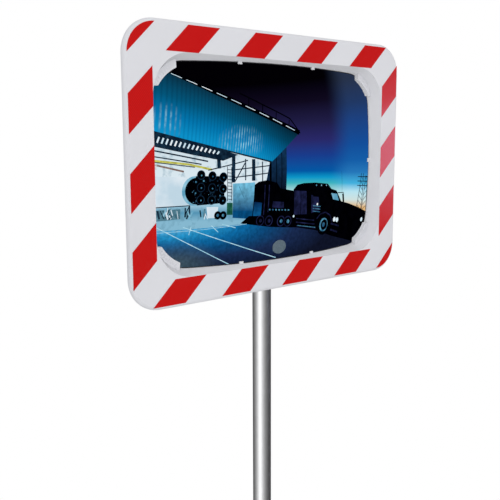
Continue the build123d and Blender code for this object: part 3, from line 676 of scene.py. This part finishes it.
def lorry(black, violet, chrome, lamp, pale):
    body = [(44.2, -7.2), (45.2, -6.3), (47.0, -6.0), (50.3, -5.9), (54.1, -6.1), (55.3, -7.0),
            (57.0, -7.3), (58.9, -9.2), (61.5, -9.5), (65.2, -10.1), (68.8, -10.8), (72, -12),
            (72, -15.6), (65.0, -16.0), (57.5, -15.5), (52.0, -14.7), (44.8, -14.3)]
    card("yard_lorry", body, 42.6, black)
    side = [(44.4, -7.4), (47.9, -7.5), (48.7, -11.8), (45.0, -12.0)]
    door = [(49.4, -8.2), (51.6, -8.5), (52.4, -11.0), (50.0, -11.6)]
    card("yard_lorry_side", side, 42.4, violet)
    bar("yard_lorry_seam", (46.3, -7.3), (46.9, -11.9), 0.14, 42.3, black)
    card("yard_lorry_door", door, 42.4, violet)
    card("yard_lorry_window", [(49.7, -7.2), (52.4, -7.3), (53.4, -8.6), (50.0, -8.5)], 42.3, black)
    card("yard_lorry_glass", [(55.4, -7.8), (57.3, -7.9), (58.1, -9.1), (56.2, -8.9)], 42.3, pale)
    bar("yard_lorry_mirror", (59.2, -7.8), (59.7, -9.4), 0.5, 42.2, black)
    bar("yard_lorry_arm", (57.4, -7.7), (59.4, -7.6), 0.14, 42.2, black)
    strips("yard_lorry_step", [((45.8, -12.7), (51.2, -12.9)), ((45.9, -13.4), (51.5, -13.6)),
                               ((46.2, -14.1), (51.9, -14.3))], 0.2, 42.1, violet)
    bar("yard_lorry_rung", (46.4, -14.0), (51.9, -14.2), 0.1, 42.0, chrome)
    fender = [(51.9, -12.6), (52.8, -11.7), (54.3, -11.3), (55.9, -11.8), (56.8, -12.9)]
    chain("yard_fender", fender, 0.24, 42.0, violet)
    disc("yard_front_tyre", 54.3, -13.6, 1.9, 41.9, black)
    disc("yard_front_rim", 54.3, -13.6, 1.25, 41.8, chrome)
    disc("yard_front_dish", 54.45, -13.6, 0.98, 41.7, black)
    disc("yard_front_hub", 54.3, -13.6, 0.4, 41.6, chrome)
    strips("yard_bumper", [((56.6, -13.3), (59.4, -13.6)), ((56.8, -14.4), (59.2, -14.7))],
           0.3, 41.9, violet)
    for k in range(3):
        e = -10.2 - 0.5 * k
        bar(f"yard_vent_{k}", (50.3, e), (52.6, e - 0.1), 0.13, 41.9, chrome)
        disc(f"yard_roof_lamp_{k}", 50.7 + 1.5 * k, -6.4, 0.14, 41.9, pale)
    lamps = ((57.5, -12.5, 0.42), (58.4, -12.55, 0.42), (66.9, -12.1, 0.36),
             (51.5, -9.9, 0.22), (45.0, -12.3, 0.24))
    for k, (a, e, radius) in enumerate(lamps):
        disc(f"yard_lamp_{k}", a, e, radius, 41.5, lamp)


def mast(steel):
    legs = [((64.9, -4.2), (64.3, -10.4)), ((65.6, -4.2), (66.0, -10.4)),
            ((66.4, -4.6), (66.2, -10.4)), ((66.9, -4.6), (67.8, -10.4))]
    strips("yard_mast_leg", legs, 0.16, 55.0, steel)
    for k in range(7):
        e = -4.6 - 0.85 * k
        foot, foot_back = (65.7 + 0.04 * k, e - 0.8), (66.3 - 0.02 * k, e - 0.8)
        bar(f"yard_mast_tie_{k}", (64.8 - 0.06 * k, e), foot, 0.1, 55.0, steel)
        bar(f"yard_mast_tie_back_{k}", (66.9 + 0.1 * k, e), foot_back, 0.1, 55.0, steel)
    for k in range(3):
        e = -4.8 - 0.75 * k
        bar(f"yard_mast_arm_{k}", (63.7, e), (67.6, e), 0.14, 55.0, steel)
    bar("yard_aerial", (58.2, -3.8), (58.8, -7.6), 0.05, 55.0, steel)


def set_out_yard():
    """A loading yard at dusk for the mirror to reflect: glowing cut-outs with their light and shade
    painted in.

    It follows the layout of the reflection in the photograph. Directions are in degrees from the
    mirror. Distances only settle which cut-out covers which.
    """
    black = dark("yard_black", (0.0, 0.0, 0.0004), (0.0006, 0.0006, 0.002), 40.0)
    steel = dark("yard_steel", (0.003, 0.010, 0.024), (0.010, 0.034, 0.065), 60.0)
    violet = dark("yard_violet", (0.005, 0.006, 0.022), (0.018, 0.022, 0.085), 50.0)
    # The chrome colour paints the glints on hubs, rims, rungs and pipes: painted reflections.
    chrome = dark("yard_chrome", (0.02, 0.10, 0.20), (0.12, 0.38, 0.52), 70.0)
    white = dark("yard_white", (0.55, 0.70, 0.80), (0.82, 0.88, 0.93), 12.0)
    pale = dark("yard_pale", (0.10, 0.34, 0.50), (0.34, 0.62, 0.76), 30.0)
    lamp = dark("yard_lamp", (0.62, 0.80, 0.90), (1.0, 1.0, 1.0), 20.0)
    line = dark("yard_line", (0.30, 0.62, 0.78), (0.62, 0.85, 0.92), 70.0)
    wall = shaded("yard_wall", (0.003, 0.006, 0.018), (0.006, 0.032, 0.085), -8.0, -1.0)

    floor_rings = [-85, -60, -45, -35, -28, -22, -18, -15, -13.4]
    shell("yard_dome", range(-180, 181, 4), range(-88, 89, 4), 60.0, dusk_sky())
    shell("yard_floor", range(-180, 181, 2), floor_rings, 50.0, yard_ground())
    shell("yard_far", range(76, 396, 2), [-14, -10.5], 52.0, wall)
    bay = [(-24, 16), (12, 5.5), (37.6, -1.5), (35, -13.6), (-24, -13.4)]
    card("yard_bay_light", bay, 48.0, lit_bay())
    card("yard_end_wall", [(37.6, -1.8), (41.9, 0.9), (42.4, -13.4), (35, -13.4)], 46.5, wall)
    strips("yard_end_rib", [((39.2, -0.9), (39.6, -9.0)), ((40.6, 0.0), (41.0, -9.0))],
           0.16, 46.4, black)
    canopy(black, steel, lamp)
    bay_frame(steel, black, lamp)
    bay_stores(steel, black, white, pale, chrome)
    trailer(black, violet, chrome)
    lorry(black, violet, chrome, lamp, pale)
    mast(steel)

    marks = [((8.0, -13.2), (31.0, -22.6)), ((17.2, -14.7), (42.0, -20.4)),
             ((19.1, -14.6), (18.7, -16.3)), ((23.9, -14.4), (25.7, -15.7)),
             ((26.5, -14.1), (29.9, -14.8)), ((-4.0, -14.4), (9.0, -21.0))]
    strips("yard_mark", marks, 0.16, 40.0, line)
    bar("yard_mark_edge", (-24.0, -14.3), (32.6, -14.0), 0.09, 40.0, line)


set_out_yard()


# ---------------------------------------------------------------- floor, light and camera

FLOOR_R = 1.0
FLOOR_SIDES = 96
FLOOR_DROP = 0.5 * MM       # keeps the floor clear of the base plate


def pale_floor():
    """A pale round floor that fades out, so that no edge cuts across the picture."""
    f = Finish("floor_pale", Roughness=0.8, Specular_IOR_Level=0.2)
    tone = f.ramp(f.noise(3.0, 4.0), [(0.3, grey(0.86)), (0.7, grey(0.90))])
    f.wear(tone, None, f.bump(f.noise(500.0, 3.0), 0.0003, 0.3))
    flat = node(f.tree, "VectorMath", {0: f.metres, 1: (1.0, 1.0, 0.0)}, operation="MULTIPLY")
    reach = node(f.tree, "VectorMath", {0: flat.outputs[0]}, operation="LENGTH").outputs["Value"]
    fade = f.mask(reach, 0.15, 0.68, "EASE")
    clear = node(f.tree, "BsdfTransparent").outputs[0]
    mixed = node(f.tree, "MixShader", {0: fade, 1: f.shader.outputs[0], 2: clear})
    f.tree.links.new(mixed.outputs[0], f.tree.nodes["Material Output"].inputs["Surface"])
    turns = [k * math.tau / FLOOR_SIDES for k in range(FLOOR_SIDES)]
    rim = [(FLOOR_R * math.cos(t), FLOOR_R * math.sin(t), 0.0) for t in turns]
    faces = [(0, k + 1, (k + 1) % FLOOR_SIDES + 1) for k in range(FLOOR_SIDES)]
    mesh = bpy.data.meshes.new("floor")
    mesh.from_pydata([(0.0, 0.0, 0.0)] + rim, [], faces)
    mesh.materials.append(f.material)
    floor = bpy.data.objects.new("floor", mesh)
    floor.location.z = -FLOOR_DROP
    floor.visible_glossy = False
    bpy.context.scene.collection.objects.link(floor)


pale_floor()


def softbox(name, place, aim, size, power):
    """A soft panel that lights the surfaces and isn't mirrored itself."""
    lamp = bpy.data.lights.new(name, "AREA")
    lamp.shape = "RECTANGLE"
    lamp.size, lamp.size_y = size
    lamp.energy = power
    made = bpy.data.objects.new(name, lamp)
    made.visible_glossy = False
    made.location = place
    made.rotation_euler = (Vector(aim) - Vector(place)).to_track_quat("-Z", "Y").to_euler()
    bpy.context.scene.collection.objects.link(made)


softbox("key", (-0.2, -2.4, 3.5), (0, 0, 1.8), (1.8, 1.8), 11.5)
softbox("lift", (-0.4, -2.2, 0.9), (0, 0, 1.8), (1.8, 1.2), 3.0)
softbox("back", (1.2, 2.6, 2.8), (0, 0, 1.7), (1.8, 1.8), 14.0)


SWEEP_BEARING = math.radians(62)
GLARE_AZIMUTH, GLARE_ELEVATION = 51, -1.0
GLARE_EDGE = 0.991          # cosine at the edge of the glare


def soft_world():
    """White to the camera, even to diffuse surfaces, and a studio sweep for gloss.

    The bluish glare in the sweep only gives the right-hand stripes the shine that they have in
    the photograph.
    """
    world = bpy.data.worlds.new("studio")
    bpy.context.scene.world = world
    world.use_nodes = True
    t = Tree(world.node_tree)
    t.tree.nodes.clear()
    path = node(t.tree, "LightPath")
    direction = node(t.tree, "TexCoord").outputs["Generated"]
    x, y, z = node(t.tree, "SeparateXYZ", {0: direction}).outputs
    bearing = t.math("ARCTAN2", t.math("MULTIPLY", x, -1.0), t.math("MULTIPLY", y, -1.0))
    near = t.math("COSINE", t.math("SUBTRACT", bearing, SWEEP_BEARING))
    sweep = t.ramp(t.remap(near, 0.0, 1.0, -1.0, 1.0), [
        (0.0, grey(0.12)), (0.17, grey(0.05)), (0.43, grey(0.17)), (0.655, grey(0.33)),
        (0.83, grey(0.62)), (0.94, grey(1.0)), (1.0, grey(1.85))])
    towards = node(t.tree, "VectorMath", {0: direction, 1: facing(GLARE_AZIMUTH, GLARE_ELEVATION)},
                   operation="DOT_PRODUCT")
    glare = t.ramp(t.remap(towards.outputs["Value"], 0.0, 1.0, GLARE_EDGE, 1.0), [
        (0.0, grey(0.0)), (0.62, (1.2, 1.3, 1.8)), (0.96, (4.8, 5.0, 7.0))], "EASE")
    sweep = t.mix(1.0, sweep, glare, "ADD")
    even = t.ramp(t.remap(z, 0.0, 1.0, -1.0, 1.0), [(0.0, grey(0.74)), (1.0, (0.80, 0.80, 0.81))])
    tone = t.mix(path.outputs["Is Glossy Ray"], even, sweep)
    tone = t.mix(path.outputs["Is Singular Ray"], tone, grey(0.0))
    tone = t.mix(path.outputs["Is Camera Ray"], tone, grey(1.0))
    background = node(t.tree, "Background", {"Color": tone})
    output = node(t.tree, "OutputWorld")
    t.tree.links.new(background.outputs[0], output.inputs["Surface"])


soft_world()
bpy.context.scene.view_settings.view_transform = "Standard"

# These come from fitting the frame's edges to the photograph, whose lens is shifted.
CAMERA_PLACE = Vector((-0.9299, -1.1515, 1.9521))
CAMERA_AZIMUTH, CAMERA_PITCH, CAMERA_ROLL = (math.radians(a) for a in (37.92, -8.13, 0.25))
SENSOR_WIDTH, FOCAL_LENGTH, LENS_SHIFT = 36.0, 48.05, -0.036


def photo_camera():
    """The photograph's view: from the left of the mirror and a little above its middle."""
    lens = bpy.data.cameras.new("camera")
    lens.sensor_width, lens.lens, lens.shift_y = SENSOR_WIDTH, FOCAL_LENGTH, LENS_SHIFT
    lens.clip_start, lens.clip_end = 0.05, 200.0
    made = bpy.data.objects.new("camera", lens)
    ahead = Vector((math.sin(CAMERA_AZIMUTH) * math.cos(CAMERA_PITCH),
                    math.cos(CAMERA_AZIMUTH) * math.cos(CAMERA_PITCH), math.sin(CAMERA_PITCH)))
    right = Vector((math.cos(CAMERA_AZIMUTH), -math.sin(CAMERA_AZIMUTH), 0.0))
    down = ahead.cross(right)
    across = right * math.cos(CAMERA_ROLL) + down * math.sin(CAMERA_ROLL)
    up = right * math.sin(CAMERA_ROLL) - down * math.cos(CAMERA_ROLL)
    turn = Matrix((across, up, -ahead)).transposed().to_4x4()
    made.matrix_world = Matrix.Translation(CAMERA_PLACE) @ turn
    bpy.context.scene.collection.objects.link(made)
    bpy.context.scene.camera = made


photo_camera()
